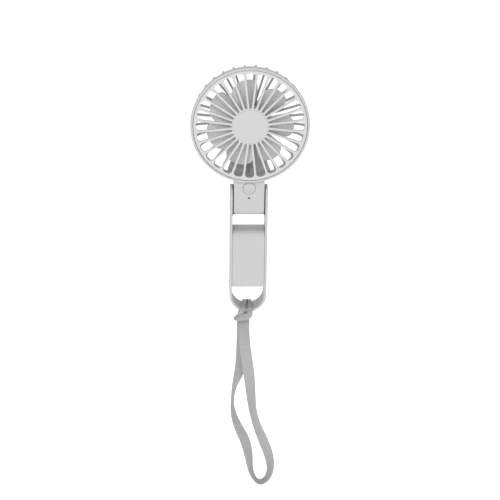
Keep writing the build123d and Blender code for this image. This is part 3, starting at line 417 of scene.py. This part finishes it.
def webbing(name, colour):
    """Woven tape: crosswise ribs with lengthwise threads between them and a soft nap, its colour darkened
    in the valleys of the weave as painted shade.
    """
    material, tree, shader, _ = material_of(name)
    layer = tree.nodes.new("ShaderNodeUVMap")
    layer.uv_map = "webbing"
    along = layer.outputs["UV"]
    ribs = ridges(tree, along, "Y", WEFT)
    threads = ridges(tree, along, "X", WARP)
    weave_and_valley_shade = combined(tree, ribs, threads, "MULTIPLY")
    fuzz = noise(tree, along, 2600.0)
    # painted shade: the tone follows the weave, darker in its valleys, with the nap's fuzz on top
    tint(tree, shader, combined(tree, weave_and_valley_shade, fuzz), *shades(colour, 0.22))
    bumped(tree, shader, combined(tree, combined(tree, ribs, weave_and_valley_shade), fuzz), 0.16 * MM)
    shader.inputs["Roughness"].default_value = 0.85
    shader.inputs["Sheen Weight"].default_value = 0.25
    shader.inputs["Specular IOR Level"].default_value = 0.25
    return material


def smoked(name, colour):
    """Dark clear plastic with a polished face."""
    material, tree, shader, at = material_of(name)
    tint(tree, shader, noise(tree, at, 500.0), *shades(colour, 0.2))
    roughened(tree, shader, noise(tree, at, 900.0), 0.08, 0.16)
    shader.inputs["Coat Weight"].default_value = 0.6
    return material


GREY = (0.47, 0.47, 0.472)
looks = {
    "body_plastic": moulded("body_plastic", GREY, rough=0.5),
    "grille_plastic": moulded("grille_plastic", (0.53, 0.53, 0.53), rough=0.4),
    "cap_plastic": moulded("cap_plastic", (0.50, 0.50, 0.502), rough=0.5),
    "button_plastic": moulded("button_plastic", GREY, rough=0.42),
    "impeller_plastic": moulded(
        "impeller_plastic", (0.56, 0.56, 0.562), rough=0.35, grain=0.6 * MM, depth=0.006 * MM,
    ),
    # near-black acetal, partly its own colour and partly painted shade: kept this dark so the hinge pads
    # fill the gaps beside the neck with black
    "acetal": moulded("acetal", (0.03, 0.03, 0.03), rough=0.5),
    "chip_plastic": moulded("chip_plastic", (0.03, 0.03, 0.032), rough=0.55, grain=0.15 * MM),
    "lead_sleeve": moulded("lead_sleeve", (0.40, 0.40, 0.405), rough=0.45, grain=0.8 * MM),
    "led_resin": moulded("led_resin", (0.80, 0.78, 0.60), rough=0.2, depth=0.002 * MM),
    "magnet": moulded("magnet", (0.06, 0.06, 0.06), rough=0.6, grain=0.2 * MM, depth=0.02 * MM),
    "lens_plastic": smoked("lens_plastic", (0.03, 0.03, 0.033)),
    "cell_foil": foil("cell_foil", (0.66, 0.67, 0.68)),
    "foam": foam("foam", (0.05, 0.05, 0.05)),
    "circuit_board": circuit_board("circuit_board", (0.02, 0.14, 0.06)),
    "steel": metal("steel", (0.56, 0.57, 0.58), 0.3, grain=0.5 * MM),
    "spring_steel": metal("spring_steel", (0.22, 0.22, 0.23), 0.35),
    "plated_steel": metal("plated_steel", (0.60, 0.61, 0.62), 0.3, stretch=(1, 12, 1)),
    "aluminium_cast": metal("aluminium_cast", (0.62, 0.63, 0.64), 0.5, grain=0.7 * MM, depth=0.05 * MM),
    "bronze": metal("bronze", (0.50, 0.34, 0.16), 0.5, grain=0.3 * MM, depth=0.03 * MM),
    "lamination_steel": laminations("lamination_steel", (0.33, 0.33, 0.34)),
    "copper_wire": wound_wire("copper_wire", (0.62, 0.24, 0.10)),
    "webbing": webbing("webbing", (0.36, 0.36, 0.362)),
}
for part in frame["record"]["subparts"]:
    node = frame["nodes"][part["node"]]
    node.data.materials.clear()
    node.data.materials.append(looks[part["material_slot"]])
strap.data.materials.append(looks["webbing"])


# ---------------------------------------------------------------- floor and light
FLOOR_SIZE = 14.0
FLOOR_BACK = 2.0         # the middle of the floor lies this far behind the fan
FLOOR_GAP = 0.03         # and this far below the strap
FLOOR_GLOW = 0.55
SURROUNDINGS = 0.54      # strength of the even light from all round
AIM = Vector((0, 0, 0.05))
LIGHTS = (               # name, place, size in m, power in W
    ("key", (-0.4, -1.3, 1.05), 0.8, 11.5),
    ("fill", (0.9, -1.0, 0.4), 1.0, 2.0),
    ("top", (0.0, 0.1, 1.5), 1.0, 5.0),
)


def studio():
    """A white sheet under the fan, even light all round and a soft key from the upper left in front."""
    bpy.ops.mesh.primitive_plane_add(size=FLOOR_SIZE, location=(0, FLOOR_BACK, cad_box[0][2] - FLOOR_GAP))
    floor = bpy.context.object
    floor.name = "floor"
    material, tree, shader, at = material_of("floor_paper")
    tint(tree, shader, noise(tree, at, 30.0), *shades((0.93, 0.93, 0.93), 0.01))
    shader.inputs["Roughness"].default_value = 0.9
    shader.inputs["Specular IOR Level"].default_value = 0.1
    shader.inputs["Emission Color"].default_value = (1.0, 1.0, 1.0, 1.0)
    shader.inputs["Emission Strength"].default_value = FLOOR_GLOW
    floor.data.materials.append(material)
    world = bpy.data.worlds.new("studio")
    world.use_nodes = True
    background = world.node_tree.nodes["Background"]
    background.inputs["Color"].default_value = (1.0, 1.0, 1.0, 1.0)
    background.inputs["Strength"].default_value = SURROUNDINGS
    bpy.context.scene.world = world
    for name, place, size, power in LIGHTS:
        data = bpy.data.lights.new(name, "AREA")
        data.size = size
        data.energy = power
        light = bpy.data.objects.new(name, data)
        light.location = place
        light.rotation_euler = (AIM - Vector(place)).to_track_quat("-Z", "Y").to_euler()
        bpy.context.scene.collection.objects.link(light)
    bpy.context.scene.view_settings.view_transform = "Standard"
    bpy.context.scene.view_settings.look = "None"


studio()
